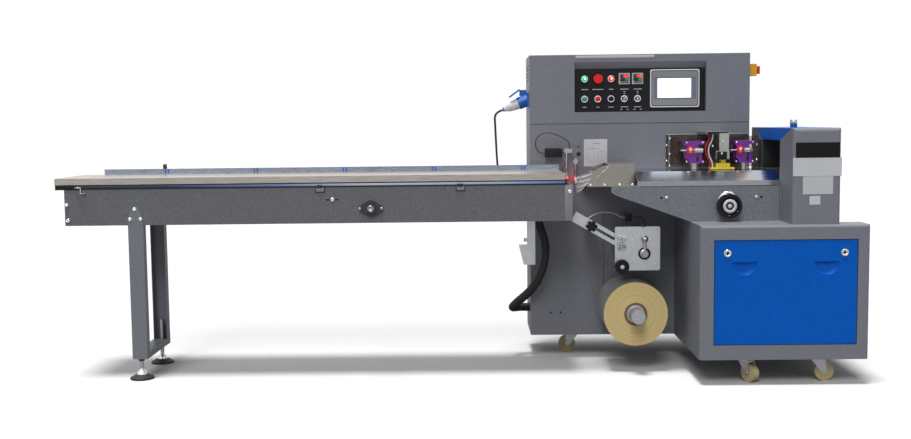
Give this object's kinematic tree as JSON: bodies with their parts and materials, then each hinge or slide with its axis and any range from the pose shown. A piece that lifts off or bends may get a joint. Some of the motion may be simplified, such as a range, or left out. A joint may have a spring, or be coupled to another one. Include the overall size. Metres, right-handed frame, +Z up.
{
  "type": "horizontal flow wrapper",
  "caption": "Horizontal flow wrapping machine: infeed conveyor on a leg frame, film roll on a fixed spindle, fin-seal bed with guard, tunnel-shaped end sealer and a control column on castors.",
  "frame": {"origin": "on the floor under the middle of the machine's overall box", "axes": "+X along the product path from infeed to outfeed, +Y from the operator side to the back, +Z up"},
  "size_m": [3.256, 0.857, 1.333],
  "materials": {
    "blue_paint": "gloss blue paint",
    "grey_paint": "hammered grey paint",
    "black_plastic": "matt",
    "stainless": "brushed",
    "zinc": "zinc plated",
    "tyre_plastic": "cast nylon",
    "steel": "turned",
    "wrapped_stainless": "under protective film",
    "chrome": "polished",
    "red_plastic": "gloss",
    "aluminium": "milled",
    "film": "wound plastic film",
    "cast_grey": "painted cast iron",
    "yellow_plastic": "gloss",
    "white_plastic": "matt",
    "button_plastic": "green, red and black in metal rings",
    "blue_plastic": "gloss",
    "black_rubber": "matt",
    "cardboard": "spiral wound",
    "smoked_acrylic": "smoked",
    "purple_paint": "gloss purple paint"
  },
  "bodies": {
    "machine": {"base_door": "blue_paint", "base_housing": "grey_paint", "bed_front_panel": "grey_paint", "bed_plate": "stainless", "cabinet_lower": "grey_paint", "cabinet_upper": "grey_paint", "castor_plates": "zinc", "chain_drive": "steel", "conduit_hose": "black_plastic", "control_panel": "black_plastic", "conveyor_end_plates": "grey_paint", "conveyor_front_beam": "grey_paint", "conveyor_rear_beam": "grey_paint", "conveyor_tray": "wrapped_stainless", "door_latches": "chrome", "emergency_stop": "red_plastic", "end_seal_cover_front": "grey_paint", "end_seal_cover_rear": "grey_paint", "end_seal_hood": "blue_paint", "end_seal_jaws": "steel", "film_arm": "aluminium", "film_knobs": "black_plastic", "film_plate": "aluminium", "film_rollers": "chrome", "film_sensors": "black_plastic", "flange_bearings": "cast_grey", "forming_box": "stainless", "hanger_bracket": "aluminium", "heater_block": "yellow_plastic", "heater_bracket": "stainless", "heater_leads": "white_plastic", "isolator_body": "yellow_plastic", "leg_frame": "grey_paint", "levelling_feet": "black_plastic", "panel_buttons": "button_plastic", "power_inlet": "blue_plastic", "power_lead": "black_rubber", "product_guide": "wrapped_stainless", "release_levers": "red_plastic", "roll_spindle": "steel", "seal_guard": "smoked_acrylic", "seal_heads": "purple_paint", "seal_rollers": "steel", "sensor_cables": "black_rubber", "temperature_controllers": "black_plastic", "touch_screen": "black_plastic"},
    "film_reel": {"film_roll": "film", "roll_core": "cardboard", "roll_chuck": "steel"},
    "film_lever": {"film_lever": "black_plastic"},
    "handwheel": {"bed_handwheel": "black_plastic"},
    "isolator_knob": {"isolator_knob": "red_plastic"},
    "castor_fork_front_left": {"castor_fork_front_left": "zinc"},
    "castor_wheel_front_left": {"castor_wheel_front_left": "tyre_plastic"},
    "castor_fork_front_right": {"castor_fork_front_right": "zinc"},
    "castor_wheel_front_right": {"castor_wheel_front_right": "tyre_plastic"},
    "castor_fork_rear_left": {"castor_fork_rear_left": "zinc"},
    "castor_wheel_rear_left": {"castor_wheel_rear_left": "tyre_plastic"},
    "castor_fork_rear_right": {"castor_fork_rear_right": "zinc"},
    "castor_wheel_rear_right": {"castor_wheel_rear_right": "tyre_plastic"}
  },
  "joints": [
    {"name": "film_reel_spin", "type": "hinge", "parent": "machine", "child": "film_reel", "pos_m": [0.753, -0.055, 0.246], "axis": [0, 1, 0], "continuous": true},
    {"name": "film_lever_turn", "type": "hinge", "parent": "machine", "child": "film_lever", "pos_m": [0.796, -0.12, 0.492], "axis": [0, 1, 0], "range_deg": [-60, 60]},
    {"name": "handwheel_turn", "type": "hinge", "parent": "machine", "child": "handwheel", "pos_m": [1.118, -0.25, 0.698], "axis": [0, 1, 0], "continuous": true},
    {"name": "isolator_turn", "type": "hinge", "parent": "machine", "child": "isolator_knob", "pos_m": [1.32, 0.1735, 1.26], "axis": [1, 0, 0], "range_deg": [0, 90]},
    {"name": "castor_swivel_front_left", "type": "hinge", "parent": "machine", "child": "castor_fork_front_left", "pos_m": [1.17, -0.3365, 0.09], "axis": [0, 0, 1], "continuous": true},
    {"name": "castor_wheel_front_left", "type": "hinge", "parent": "castor_fork_front_left", "child": "castor_wheel_front_left", "pos_m": [1.183, -0.35902, 0.0375], "axis": [0.866, 0.5, 0], "continuous": true},
    {"name": "castor_swivel_front_right", "type": "hinge", "parent": "machine", "child": "castor_fork_front_right", "pos_m": [1.456, -0.3365, 0.09], "axis": [0, 0, 1], "continuous": true},
    {"name": "castor_wheel_front_right", "type": "hinge", "parent": "castor_fork_front_right", "child": "castor_wheel_front_right", "pos_m": [1.482, -0.3365, 0.0375], "axis": [0, 1, 0], "continuous": true},
    {"name": "castor_swivel_rear_left", "type": "hinge", "parent": "machine", "child": "castor_fork_rear_left", "pos_m": [0.53, 0.2715, 0.09], "axis": [0, 0, 1], "continuous": true},
    {"name": "castor_wheel_rear_left", "type": "hinge", "parent": "castor_fork_rear_left", "child": "castor_wheel_rear_left", "pos_m": [0.504, 0.2715, 0.0375], "axis": [0, -1, 0], "continuous": true},
    {"name": "castor_swivel_rear_right", "type": "hinge", "parent": "machine", "child": "castor_fork_rear_right", "pos_m": [1.456, 0.2715, 0.09], "axis": [0, 0, 1], "continuous": true},
    {"name": "castor_wheel_rear_right", "type": "hinge", "parent": "castor_fork_rear_right", "child": "castor_wheel_rear_right", "pos_m": [1.43, 0.2715, 0.0375], "axis": [0, -1, 0], "continuous": true}
  ]
}
